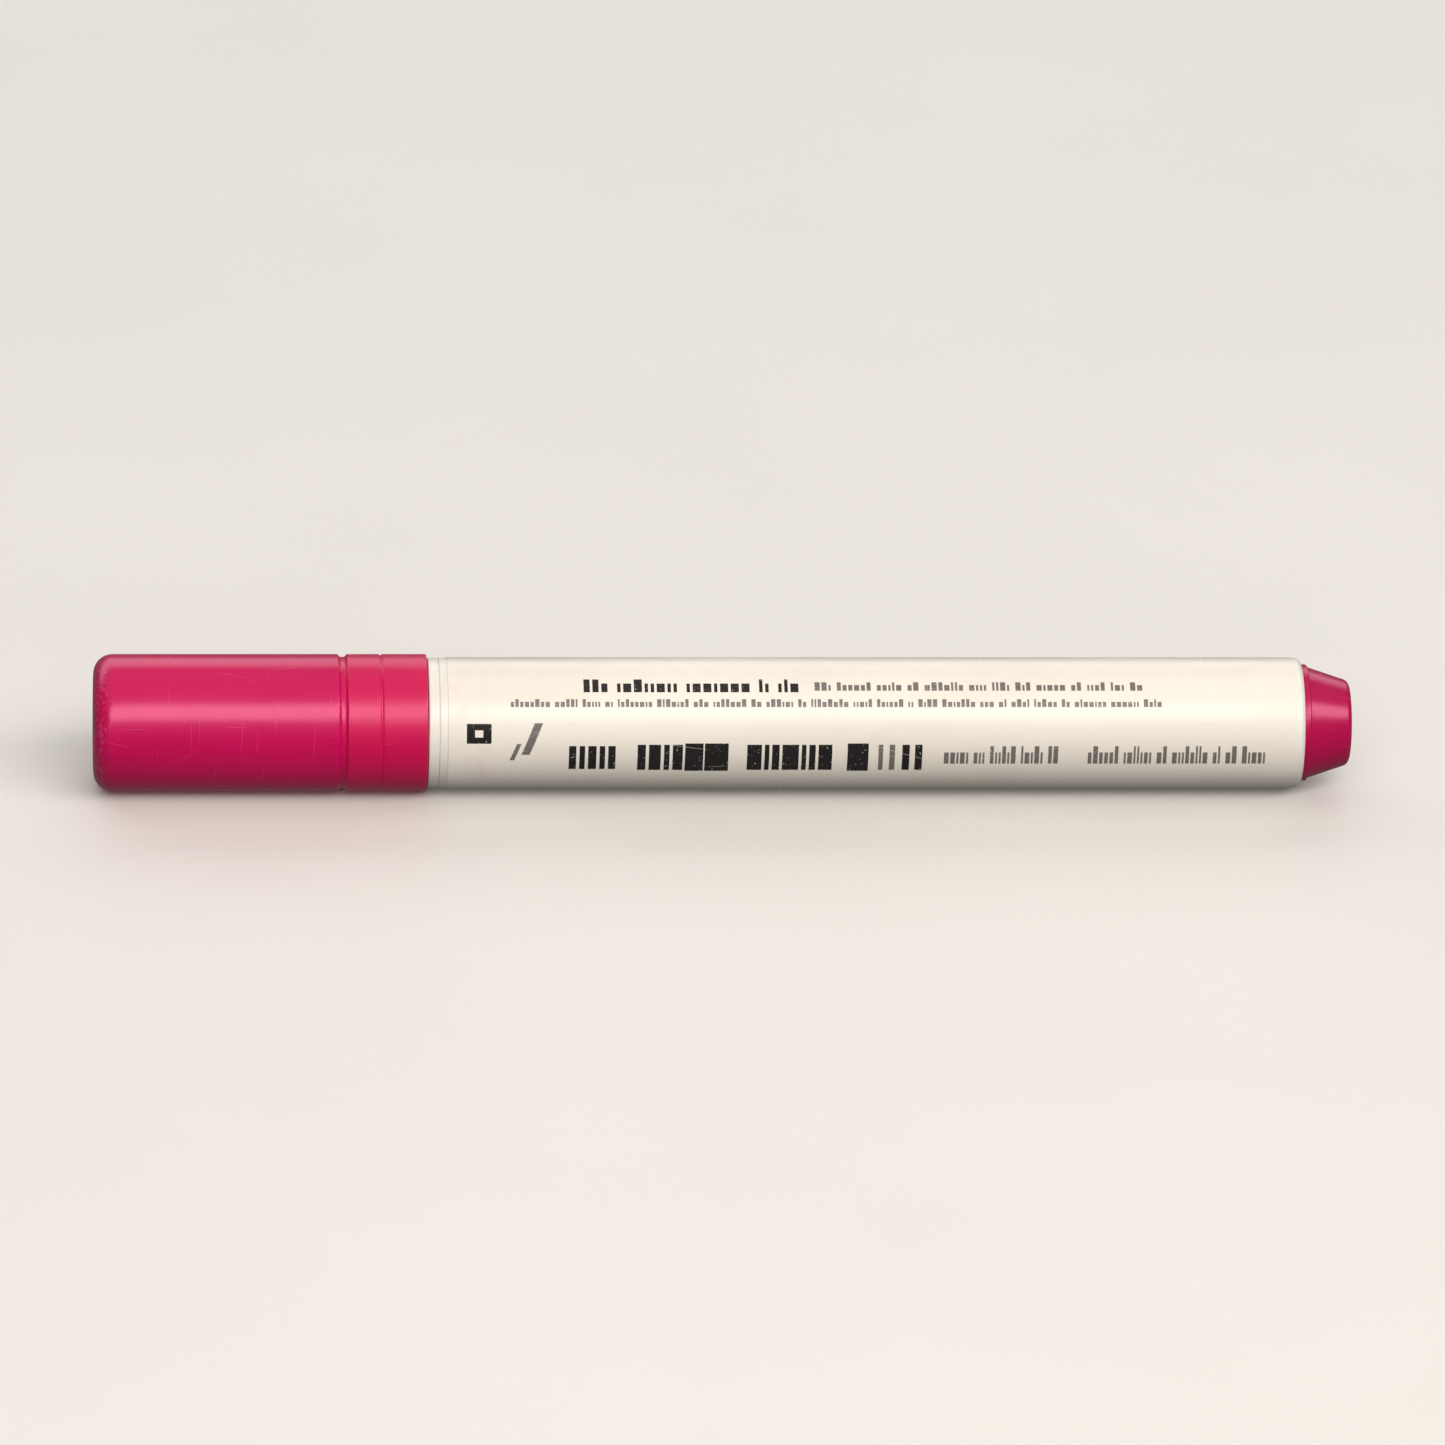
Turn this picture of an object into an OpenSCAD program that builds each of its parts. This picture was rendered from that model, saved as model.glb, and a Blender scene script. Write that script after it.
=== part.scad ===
// Bullet-tip whiteboard marker with its cap on, lying on its side.
//
// Every piece is drawn upright, with z running from 0 at the closed end of the
// cap to marker_l at the end of the rear plug. lay_down() then turns the marker
// onto its side, so that +X runs from the cap to the rear plug, +Z is up, and
// the origin is on the table under the middle of the marker.
//
// What seats on, slides in or passes through another piece takes its size from
// that piece: the chain of radii runs from the barrel inwards, and the chain of
// z positions runs from the cap's closed end to the rear plug.

/* [Whole marker] */
// Length with the cap on
marker_l = 138; // [112:0.5:170]
// Outer diameter of the barrel tube, under its label
barrel_d = 14.2; // [11.6:0.1:20]

/* [Cap] */
// Length of the cap
cap_l = 36.4; // [30:0.1:46]
// How far the cap stands proud of the barrel, all round
cap_proud = 0.4; // [0.2:0.05:1]
// Wall of the cap's tube
cap_wall = 1.2; // [0.9:0.05:1.5]
// Thickness of the closed end
cap_end_t = 1.3; // [1:0.1:2]
// Rounding of the closed end
cap_round = 2.1; // [0.5:0.1:2.5]
// Length of the grip band at the mouth
band_l = 9.2; // [7.5:0.1:11]
// Width of the groove that sets off the grip band
groove_w = 1.0; // [0.5:0.1:1.6]
// Depth of that groove
groove_depth = 0.3; // [0.1:0.05:0.5]
// Distance from that groove to the fine line round the band
line_step = 4.2; // [2:0.1:5]
// Number of ribs that hold the inner cap
cap_ribs = 8; // [4:1:10]
// Height of those ribs
cap_rib_h = 0.6; // [0.4:0.05:0.8]
// Number of air slots in the closed end
air_slots = 4; // [2:1:5]

/* [Inner cap] */
// Wall of the inner cap
inner_wall = 0.9; // [0.6:0.05:1.1]
// Thickness of its closed end
inner_end_t = 0.9; // [0.6:0.05:1.5]
// Space between the two closed ends
inner_stand = 1.2; // [0.8:0.1:2]
// Number of air notches in its flange
inner_notches = 6; // [3:1:8]

/* [Nose section] */
// Length of the collar that the cap grips
collar_l = 8.6; // [7:0.1:10]
// Length of the round land that the inner cap seals on
land_l = 6; // [4:0.1:7]
// Thickness of the flange between the collar and the barrel
flange_t = 1.2; // [0.8:0.1:2]
// Length of the spigot inside the barrel
spigot_l = 8; // [5:0.5:12]
// Wall of that spigot
spigot_wall = 1.3; // [0.9:0.05:1.6]
// Wall round the nib at the front of the nose
tip_wall = 0.9; // [0.7:0.05:1.2]
// Number of air grooves beside the nib
air_grooves = 3; // [2:1:4]

/* [Nib] */
// Diameter of the nib
nib_d = 4.8; // [3.8:0.1:6]
// How far the nib stands out of the nose
nib_out = 7; // [4:0.1:8.5]
// Length of the rounded tip
nib_round_l = 4; // [2:0.1:4]
// Space between the tip and the inner cap
nib_clear = 2.5; // [1:0.1:4]
// How deep the nib dips into the reservoir
nib_dip = 6; // [3:0.5:12]

/* [Barrel and label] */
// Wall of the barrel tube
barrel_wall = 1; // [0.8:0.05:1.3]
// Number of ribs that centre the reservoir
barrel_ribs = 6; // [3:1:8]
// Height of those ribs
barrel_rib_h = 0.6; // [0.4:0.05:0.9]
// Thickness of the label film
label_t = 0.1; // [0.06:0.01:0.2]
// Bare barrel in front of and behind the label
label_inset = 0.9; // [0.5:0.1:5]

/* [Reservoir] */
// Thickness of the film round the fibre core
film_t = 0.15; // [0.1:0.05:0.3]

/* [Rear plug] */
// Length of the plug behind the barrel
plug_l = 5.4; // [4:0.1:8]
// How far its flange reaches over the barrel's rear edge
plug_lip = 0.3; // [0.1:0.05:0.6]
// Thickness of that flange
plug_flange_t = 0.7; // [0.5:0.1:1.2]
// Step from the flange in to the tapered end
plug_step = 0.25; // [0.1:0.05:0.6]
// How much the end's radius tapers, up to its rim
plug_taper = 1.35; // [0.4:0.05:1.5]
// Depth of the recess in the end
recess_depth = 1.4; // [0.6:0.1:1.8]
// Length of the spigot inside the barrel
plug_spigot_l = 9; // [6:0.5:14]
// Wall of that spigot
plug_wall = 1.1; // [0.8:0.05:1.4]
// Length of the fins that stand between the spigot and the reservoir
fin_l = 4; // [2:0.5:8]

/* [Clearances] */
// Radial clearance of the cap on the collar and the inner cap on its land
slide_gap = 0.05; // [0.02:0.01:0.08]
// Gap between the cap's mouth and the nose's flange
seat_gap = 0.1; // [0.05:0.05:0.3]

/* [Hidden] */
$fn = 96;

edge = 0.25;            // small chamfer on moulded edges
lead = 0.4;             // lead-in chamfer at a mouth or on a spigot
root = 0.2;             // how far a rib or fin sinks into its wall
line_w = 0.35;          // width of the fine line round the grip band
line_depth = 0.12;      // depth of that line
rib_w = 0.9;            // thickness of ribs and fins, and width of the nib's air grooves
bead_h = 0.22;          // height of the bead that keeps the inner cap in
bead_w = 0.7;           // width of that bead
inner_flange_t = 1;     // thickness of the flange at the inner cap's mouth
notch_w = 1.6;          // width of an air notch in that flange
taper_share = 2 / 3;    // share of the nose's two tapers that lies in front of its land
slot_w = 1.1;           // width of an air slot
slot_margin = 0.8;      // flat left between the slots and the rounding
slots_turn = 200;       // degrees of the circle that the slots take up together
gate_r = 0.9;           // moulding gate mark in the end faces
gate_depth = 0.25;      // depth of that mark
nib_tail_l = 1.2;       // chamfer at the nib's rear end
plug_end_t = 1;         // plastic between the plug's recess and its hollow
plug_round = 0.8;       // rounding of the plug's rim
rim_w = 1.3;            // width of the rim round the plug's recess
ring_h = 0.1;           // height of the plug's sealing rings
ring_w = 0.8;           // width of those rings
ring_shares = [2 / 3, 1 / 3]; // where the rings sit, as shares of the spigot from the flange

// Radii, from the outside in
barrel_r = barrel_d / 2;
bore_r = barrel_r - barrel_wall;
cap_r = barrel_r + cap_proud;
cap_in_r = cap_r - cap_wall;
collar_r = cap_in_r - slide_gap;
inner_r = cap_in_r - cap_rib_h - slide_gap;
inner_in_r = inner_r - inner_wall;
land_r = inner_in_r - slide_gap;
spigot_in_r = bore_r - spigot_wall;
nib_r = nib_d / 2;
film_r = bore_r - barrel_rib_h - slide_gap;
core_r = film_r - film_t;
plug_flange_r = bore_r + plug_lip;
plug_base_r = plug_flange_r - plug_step;
plug_end_r = plug_base_r - plug_taper;
recess_r = plug_end_r - rim_w;
plug_in_r = bore_r - ring_h - plug_wall;

// Places along the marker, from the closed end of the cap
inner_z = cap_end_t + inner_stand;
nib_z = inner_z + inner_end_t + nib_clear;
nose_z = nib_z + nib_out;
flange_z = cap_l + seat_gap;
barrel_z = flange_z + flange_t;
spigot_z = barrel_z + spigot_l;
collar_z = flange_z - collar_l;
tapers_l = collar_z - nose_z - land_l;  // shared by the nose's two tapers
land_z = nose_z + tapers_l * taper_share;
land_end_z = land_z + land_l;
inner_end_z = land_end_z - lead;
inner_flange_z = inner_end_z - inner_flange_t;
band_z = cap_l - band_l;
plug_z = marker_l - plug_l;
plug_spigot_z = plug_z - plug_spigot_l;
core_z = spigot_z;
core_end_z = plug_spigot_z - fin_l;
nib_end_z = core_z + nib_dip;

// Points on an arc about centre c, from angle a to angle b
function arc(c, r, a, b, n = 10) =
    [for (i = [0:n]) c + r * [cos(a + (b - a) * i / n), sin(a + (b - a) * i / n)]];

// The dip of a groove cut into a wall of radius r, for an outline that runs towards +z
function groove(r, z, width, depth) =
    [[r, z - width / 2], [r - depth, z - width / 4], [r - depth, z + width / 4], [r, z + width / 2]];

// A solid of revolution from an outline of [radius, z] points
module turned(outline) {
    rotate_extrude() polygon(outline);
}

// count ribs between the radii r_in and r_out, from z up to z + l
module ribs(count, r_in, r_out, z, l, w = rib_w) {
    for (i = [0:count - 1])
        rotate(360 * i / count)
            translate([r_in, -w / 2, z])
                cube([r_out - r_in, w, l]);
}

// The outer shell of the cap: closed, rounded end, grip band at the mouth
module cap_shell() color("mediumvioletred") {
    slot_r = cap_r - cap_round - slot_margin - slot_w;
    slot_a = slots_turn / air_slots;
    bead_z = inner_end_z + slide_gap + bead_w / 2;
    difference() {
        turned(concat(
            [[0, 0]],
            arc([cap_r - cap_round, cap_round], cap_round, -90, 0),
            groove(cap_r, band_z, groove_w, groove_depth),
            groove(cap_r, band_z + line_step, line_w, line_depth),
            [[cap_r, cap_l - edge], [cap_r - edge, cap_l],
             [cap_in_r + lead, cap_l], [cap_in_r, cap_l - lead],
             [cap_in_r, bead_z + bead_w / 2], [cap_in_r - bead_h, bead_z], [cap_in_r, bead_z - bead_w / 2],
             [cap_in_r, cap_end_t], [0, cap_end_t]]));
        for (i = [0:air_slots - 1])
            rotate(360 * i / air_slots)
                rotate_extrude(angle = slot_a)
                    translate([slot_r, -edge])
                        square([slot_w, cap_end_t + 2 * edge]);
        translate([0, 0, -edge])
            cylinder(r = gate_r, h = edge + gate_depth);
    }
    ribs(cap_ribs, inner_r + slide_gap, cap_in_r + root, cap_end_t - root,
         inner_flange_z - slide_gap - cap_end_t + root);
}

// The soft liner that seals round the nose and keeps the nib wet
module inner_cap() color("whitesmoke") {
    flange_r = cap_in_r - slide_gap;
    difference() {
        turned([
            [0, inner_z], [inner_r - lead, inner_z], [inner_r, inner_z + lead],
            [inner_r, inner_flange_z], [flange_r, inner_flange_z], [flange_r, inner_end_z],
            [inner_in_r + edge, inner_end_z], [inner_in_r, inner_end_z - edge],
            [inner_in_r, inner_z + inner_end_t], [0, inner_z + inner_end_t]]);
        ribs(inner_notches, inner_r, cap_in_r, inner_flange_z - edge, inner_flange_t + 2 * edge, notch_w);
    }
}

// The felt nib: rounded tip, plain rod, chamfered tail in the reservoir
module nib() color("crimson") {
    turned(concat(
        [for (a = [0:9:90]) [nib_r * sin(a), nib_z + nib_round_l * (1 - cos(a))]],
        [[nib_r, nib_end_z - nib_tail_l], [nib_r / 2, nib_end_z], [0, nib_end_z]]));
}

// The front of the body: holds the nib, seals in the inner cap, grips the cap, plugs the barrel
module nose_section() color("white") {
    tip_r = nib_r + tip_wall;
    hollow_z = collar_z + lead;
    funnel_l = spigot_in_r - nib_r;
    groove_out = tip_wall / 2;
    difference() {
        turned([
            [nib_r, nose_z], [tip_r - edge, nose_z], [tip_r, nose_z + edge],
            [land_r, land_z], [land_r, land_end_z],
            [collar_r, collar_z], [collar_r, flange_z],
            [barrel_r - edge, flange_z], [barrel_r, flange_z + edge], [barrel_r, barrel_z],
            [bore_r, barrel_z], [bore_r, spigot_z - lead], [bore_r - lead, spigot_z],
            [spigot_in_r, spigot_z], [spigot_in_r, hollow_z + funnel_l], [nib_r, hollow_z]]);
        ribs(air_grooves, 0, nib_r + groove_out, nose_z - edge, hollow_z + funnel_l - nose_z);
    }
}

// The white tube, ribbed inside
module barrel() color("white") {
    rib_z = spigot_z + edge;
    turned([
        [bore_r, barrel_z], [barrel_r, barrel_z],
        [barrel_r, plug_z - lead], [barrel_r - lead, plug_z], [bore_r, plug_z]]);
    ribs(barrel_ribs, film_r + slide_gap, bore_r + root, rib_z, core_end_z - rib_z);
}

// The printed film round the barrel
module label() color("ivory") {
    translate([0, 0, barrel_z + label_inset])
        difference() {
            cylinder(r = barrel_r + label_t, h = plug_z - barrel_z - 2 * label_inset);
            translate([0, 0, -edge])
                cylinder(r = barrel_r, h = plug_z - barrel_z - 2 * label_inset + 2 * edge);
        }
}

// The fibre rod that holds the ink, with a socket for the nib
module reservoir_core() color("hotpink") {
    difference() {
        translate([0, 0, core_z])
            cylinder(r = core_r, h = core_end_z - core_z);
        nib();
    }
}

// The clear film rolled round the fibre rod
module reservoir_film() color("lavenderblush") {
    turned([[core_r, core_z], [film_r, core_z], [film_r, core_end_z], [core_r, core_end_z]]);
}

// The coloured stopper that closes the barrel
module rear_plug() color("mediumvioletred") {
    hollow_end_z = marker_l - recess_depth - plug_end_t;
    base_z = plug_z + plug_flange_t;
    round_z = marker_l - plug_round;
    slope = atan(plug_taper / (round_z - base_z));
    spigot_r = bore_r - ring_h;
    difference() {
        turned(concat(
            [[0, hollow_end_z], [recess_r, hollow_end_z], [plug_in_r, plug_z],
             [plug_in_r, plug_spigot_z], [spigot_r - lead, plug_spigot_z], [spigot_r, plug_spigot_z + lead]],
            [for (share = ring_shares)
                each groove(spigot_r, plug_z - plug_spigot_l * share, ring_w, -ring_h)],
            [[spigot_r, plug_z], [plug_flange_r, plug_z], [plug_flange_r, base_z], [plug_base_r, base_z]],
            arc([plug_end_r - plug_round, round_z], plug_round, slope, 90),
            [[recess_r, marker_l], [recess_r, marker_l - recess_depth], [0, marker_l - recess_depth]]));
        translate([0, 0, marker_l - recess_depth - gate_depth])
            cylinder(r = gate_r, h = gate_depth + edge);
    }
    for (a = [0, 90])
        rotate(a)
            translate([-plug_in_r - root, -rib_w / 2, core_end_z])
                cube([2 * (plug_in_r + root), rib_w, plug_z - core_end_z]);
}

// Turns the upright marker onto its side, with the cap's side touching the table
module lay_down() {
    translate([-marker_l / 2, 0, cap_r])
        rotate([0, 90, 0])
            children();
}

lay_down() {
    cap_shell();
    inner_cap();
    nib();
    nose_section();
    barrel();
    label();
    reservoir_core();
    reservoir_film();
    rear_plug();
}
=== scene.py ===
# %% [markdown]
# # A whiteboard marker, built around its CAD frame
#
# A whiteboard marker looks simple: a white tube with a coloured cap. Up close it is nine pieces that are
# nearly all turned about one line. The frame already holds each piece at its true size and place. This lesson
# makes the pieces again as fine meshes and gives each its finish. Then it lights them and sets up a camera.
#
# We work in the frame's own coordinates. The marker lies along X, its cap on the left, on a table at z = 0.

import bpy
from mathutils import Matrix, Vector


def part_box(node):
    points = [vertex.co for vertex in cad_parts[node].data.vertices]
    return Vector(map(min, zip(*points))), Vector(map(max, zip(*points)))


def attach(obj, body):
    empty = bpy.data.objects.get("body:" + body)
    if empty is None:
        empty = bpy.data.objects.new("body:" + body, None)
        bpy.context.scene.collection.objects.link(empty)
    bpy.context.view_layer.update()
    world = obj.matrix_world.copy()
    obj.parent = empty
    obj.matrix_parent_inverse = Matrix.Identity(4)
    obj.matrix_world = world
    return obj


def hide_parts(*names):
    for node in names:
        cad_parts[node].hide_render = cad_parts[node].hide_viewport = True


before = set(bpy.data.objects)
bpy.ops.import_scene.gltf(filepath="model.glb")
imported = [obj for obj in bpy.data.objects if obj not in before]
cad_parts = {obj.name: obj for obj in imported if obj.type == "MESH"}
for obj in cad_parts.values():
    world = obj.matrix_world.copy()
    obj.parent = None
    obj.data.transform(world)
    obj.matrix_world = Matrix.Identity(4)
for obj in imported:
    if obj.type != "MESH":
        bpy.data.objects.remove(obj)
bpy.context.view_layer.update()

# %% [markdown]
# ## Sizes
#
# Lengths along the marker are easiest to think of as distances from the cap's closed end, as a person would
# measure them with a ruler. We call that distance `u`, in millimetres, and the distance from the marker's
# axis `r`. The frame gives every piece's ends and outer radius, so they are read from it and not typed in.

# %% Read where each piece starts and ends
import math

MM = 0.001

cap_low, cap_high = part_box("cap_shell")
CLOSED_END_X = cap_low.x
AXIS_Z = (cap_low.z + cap_high.z) / 2


def span(node):
    """Where a piece starts and ends along the marker, and its outer radius, in millimetres."""
    low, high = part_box(node)
    start, end = (low.x - CLOSED_END_X) / MM, (high.x - CLOSED_END_X) / MM
    return round(start, 2), round(end, 2), round((high.z - low.z) / 2 / MM, 2)


_, cap_end, cap_r = span("cap_shell")
liner_start, liner_end, liner_flange_r = span("inner_cap")
nib_start, nib_end, nib_r = span("nib")
nose_start, nose_end, _ = span("nose_section")
barrel_start, barrel_end, barrel_r = span("barrel")
label_start, label_end, label_r = span("label")
core_start, core_end, core_r = span("reservoir_core")
_, _, film_r = span("reservoir_film")
plug_start, plug_end, plug_r = span("rear_plug")
print("cap", cap_end, "x", cap_r, "  barrel", barrel_start, "to", barrel_end, "  whole", plug_end, "mm")

# %% [markdown]
# ## The tool that makes most pieces
#
# Moulded plastic tubes and caps are solids of revolution: one outline, spun about an axis. Blender's Screw
# modifier can do that, but it can't bend the outline as it goes round, which ribs and notches need. A small
# function of our own can. It takes the outline as (u, r) points, sets them out in columns round the axis and
# joins them with quads. A second function may move each point by its angle, and so raise a rib. It tells
# which wall a point is on by the radius: two that differ by less than `CLOSE` count as the same.
#
# Angles start at the side that faces the viewer and grow upwards, so 90 degrees is the top of the marker.

# %% Spin an outline about the marker's axis
import bmesh
import bpy

COLUMNS = 192
SHARP_FROM = math.radians(35)
CLOSE = 0.01


def place(u, r, angle):
    """The point in the frame, in metres, at distance u along the marker, r from its axis and that angle."""
    return (CLOSED_END_X + u * MM, -r * MM * math.cos(angle), AXIS_Z + r * MM * math.sin(angle))


def mesh_object(name, verts, faces):
    """A smooth-shaded object from points and faces, with all normals outwards and true corners kept sharp."""
    mesh = bpy.data.meshes.new(name)
    mesh.from_pydata(verts, [], faces)
    grid = bmesh.new()
    grid.from_mesh(mesh)
    bmesh.ops.recalc_face_normals(grid, faces=grid.faces)
    grid.to_mesh(mesh)
    grid.free()
    mesh.shade_smooth()
    mesh.set_sharp_from_angle(angle=SHARP_FROM)
    piece = bpy.data.objects.new(name, mesh)
    bpy.context.scene.collection.objects.link(piece)
    return piece


def turned(name, outline, shape=None, columns=COLUMNS):
    """Spins an outline of (u, r) points. It is a closed loop, or it starts and ends on the axis, at r = 0."""
    verts, rings = [], []
    for u, r in outline:
        if r == 0:
            rings.append([len(verts)] * columns)
            verts.append(place(u, 0, 0))
            continue
        rings.append(range(len(verts), len(verts) + columns))
        for column in range(columns):
            angle = 2 * math.pi * column / columns
            verts.append(place(*(shape(u, r, angle) if shape else (u, r)), angle))
    if outline[0][1] > 0:
        rings.append(rings[0])
    faces = []
    for one, two in zip(rings, rings[1:]):
        for column in range(columns):
            after = (column + 1) % columns
            corners = one[column], one[after], two[after], two[column]
            faces.append(tuple(dict.fromkeys(corners)))
    return mesh_object(name, verts, faces)


# %% [markdown]
# Nothing that comes out of a mould has a perfectly sharp edge, and light shows it: each edge carries a thin
# bright line. So outlines are softened before they are spun. `softened` swaps every corner for a short curve.
# It also adds a point close to each end of a long straight run, which keeps smooth shading from bending the
# flat surface next to the curve.

# %% Soften an outline's corners
CURVE_STEPS = 4
SMOOTH_TURN = math.radians(15)
LARGEST_CUT = 0.42
LONG_SIDE = 6


def arc(u, r, radius, start, end, steps=10):
    """Points on an arc about (u, r). Angles in degrees, 0 pointing towards +u and 90 away from the axis."""
    turn = [math.radians(start + (end - start) * i / steps) for i in range(steps + 1)]
    return [(u + radius * math.cos(a), r + radius * math.sin(a)) for a in turn]


def between(a, b, share):
    return tuple(p + (q - p) * share for p, q in zip(a, b))


def softened(points, radius, guard=0.12):
    """The outline with each corner rounded by about that radius. Ends on the axis stay as they are.

    A turn under SMOOTH_TURN is no corner, and no rounding takes more than LARGEST_CUT of a side. A side that
    is longer than LONG_SIDE guards gets the extra points.
    """
    loop = points[0][1] > 0
    result = []
    for i, here in enumerate(points):
        if not loop and i in (0, len(points) - 1):
            result.append(here)
            continue
        before, after = points[i - 1], points[(i + 1) % len(points)]
        far_in, far_out = math.dist(before, here), math.dist(here, after)
        turn_in = math.atan2(here[1] - before[1], here[0] - before[0])
        turn_out = math.atan2(after[1] - here[1], after[0] - here[0])
        turn = abs((turn_out - turn_in + math.pi) % (2 * math.pi) - math.pi)
        if turn < SMOOTH_TURN:
            result.append(here)
            continue
        cut = radius * math.tan(turn / 2)
        cut_in, cut_out = min(cut, LARGEST_CUT * far_in), min(cut, LARGEST_CUT * far_out)
        one, two = between(here, before, cut_in / far_in), between(here, after, cut_out / far_out)
        if far_in > LONG_SIDE * guard:
            result.append(between(here, before, (cut_in + guard) / far_in))
        for step in range(CURVE_STEPS + 1):
            t = step / CURVE_STEPS
            result.append(between(between(one, here, t), between(here, two, t), t))
        if far_out > LONG_SIDE * guard:
            result.append(between(here, after, (cut_out + guard) / far_out))
    return result


def spaced(points, longest=3.0):
    """The outline with long straight runs cut into even steps, so that no quad is a sliver."""
    result = []
    pairs = list(zip(points, points[1:] + points[:1]))
    if points[0][1] == 0:
        pairs.pop()
    for a, b in pairs:
        steps = max(1, math.ceil(math.dist(a, b) / longest))
        result += [between(a, b, i / steps) for i in range(steps)]
    return result if points[0][1] > 0 else result + [points[-1]]


print("a softened 2 mm square has", len(softened([(0, 1), (2, 1), (2, 3), (0, 3)], 0.2)), "points")

# %% [markdown]
# Ribs, notches and grooves all repeat round the axis, the first of them on the underside. One function says
# how much of a rib there is at an angle: 1 on it, 0 between two of them, and a steep ramp at its sides,
# because a rib that leaves a mould is never quite square.

# %% Repeat a rib round the axis
def rib(angle, count, width, r, ramp=0.18):
    """1 on one of count ribs of that width at radius r, 0 between them."""
    pitch = 2 * math.pi / count
    off = abs((angle + math.pi / 2 + pitch / 2) % pitch - pitch / 2) * r
    share = min(1, max(0, (width / 2 + ramp / 2 - off) / ramp))
    return share * share * (3 - 2 * share)


# %% [markdown]
# ## The cap
#
# The cap is a thin cup with a rounded closed end. About a quarter of the way from its mouth a groove runs
# round it, and the part beyond is the grip band, with one finer line. Inside, eight ribs hold the liner and a
# small bead snaps over the liner's flange. The closed end has a sunk gate mark, where the plastic flowed in,
# and air slots, which let a person breathe who has swallowed the cap.

# %% Turn the cap's shell
CAP_WALL = 1.2
CAP_END = 1.3
CAP_ROUND = 2.1
GROOVE_U, GROOVE_W, GROOVE_DEEP = 27.2, 1.0, 0.3
LINE_U, LINE_W, LINE_DEEP = 31.4, 0.35, 0.12
GATE_R, GATE_DEEP = 0.9, 0.25
BEAD_H, BEAD_W = 0.22, 0.7
LEAD_IN = 0.4
SLIDE_GAP = 0.05
CAP_RIBS, CAP_RIB_W, CAP_RIB_H = 8, 0.9, 0.55
RIB_STEP = 0.06
LINER_FLANGE = 1.0
cap_in_r = cap_r - CAP_WALL
bead_u = liner_end + BEAD_W / 2 + SLIDE_GAP
cap_ribs_end = liner_end - LINER_FLANGE - SLIDE_GAP


def groove(u, r, width, deep):
    """The four points of a groove in a wall of radius r, read towards +u."""
    return [(u - width / 2, r), (u - width / 4, r - deep), (u + width / 4, r - deep), (u + width / 2, r)]


cap_outline = [
    (GATE_DEEP, 0), (GATE_DEEP, GATE_R), (0, GATE_R),
    *arc(CAP_ROUND, cap_r - CAP_ROUND, CAP_ROUND, 180, 90),
    *groove(GROOVE_U, cap_r, GROOVE_W, GROOVE_DEEP),
    *groove(LINE_U, cap_r, LINE_W, LINE_DEEP),
    (cap_end, cap_r), (cap_end, cap_in_r + LEAD_IN), (cap_end - LEAD_IN, cap_in_r),
    (bead_u + BEAD_W / 2, cap_in_r), (bead_u, cap_in_r - BEAD_H), (bead_u - BEAD_W / 2, cap_in_r),
    (cap_ribs_end + RIB_STEP, cap_in_r), (cap_ribs_end - RIB_STEP, cap_in_r),
    (CAP_END, cap_in_r), (CAP_END, 0),
]


def cap_ribs(u, r, angle):
    """Raises the ribs from the inside of the cap's tube, between its closed end and the liner's flange."""
    if abs(r - cap_in_r) < CLOSE and CAP_END <= u < cap_ribs_end:
        r -= CAP_RIB_H * rib(angle, CAP_RIBS, CAP_RIB_W, r)
    return u, r


cap = turned("cap", spaced(softened(cap_outline, 0.15)), cap_ribs)
print("cap:", len(cap.data.polygons), "faces")

# %% [markdown]
# The air slots go right through the closed end, so they are cut with Blender's Boolean modifier. Each cutter
# is a curved bar, four corners swept through an angle, and it reaches past both faces of the wall. A Bevel
# modifier then rounds the new edges. The modifiers are applied at once, so what is left is plain mesh.

# %% Cut the air slots
SLOTS, SLOT_SOFT = 4, 0.08
SLOT_FROM, SLOT_TO = 40, 90
SLOT_W, SLOT_MARGIN = 1.1, 0.8
SLOT_STEPS = 24
CUTTER_PAST = 1.0
slot_r = cap_r - CAP_ROUND - SLOT_MARGIN - SLOT_W


def swept_bar(name, corners, start, end, steps):
    """A closed bar whose section of four (u, r) corners is swept from one angle to another, in degrees."""
    turn = [math.radians(start + (end - start) * i / steps) for i in range(steps + 1)]
    verts = [place(u, r, a) for a in turn for u, r in corners]
    faces = [(0, 1, 2, 3), tuple(range(4 * steps, 4 * steps + 4))]
    for i in range(steps):
        for c in range(4):
            d = (c + 1) % 4
            faces.append((4 * i + c, 4 * i + d, 4 * i + 4 + d, 4 * i + 4 + c))
    return mesh_object(name, verts, faces)


def apply_modifiers(piece):
    """Puts what the modifiers make in place of the piece's mesh, and drops the modifiers."""
    view = bpy.context.evaluated_depsgraph_get()
    final = bpy.data.meshes.new_from_object(piece.evaluated_get(view))
    piece.modifiers.clear()
    piece.data = final


def cut(piece, cutters, soften):
    """Takes the cutters away from a piece and rounds the edges that this leaves."""
    for cutter in cutters:
        away = piece.modifiers.new("cut", "BOOLEAN")
        away.operation, away.solver, away.object = "DIFFERENCE", "EXACT", cutter
    rounding = piece.modifiers.new("soften", "BEVEL")
    rounding.width, rounding.segments = soften * MM, 2
    rounding.limit_method, rounding.angle_limit = "ANGLE", math.radians(60)
    apply_modifiers(piece)
    for cutter in cutters:
        bpy.data.objects.remove(cutter)


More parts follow.
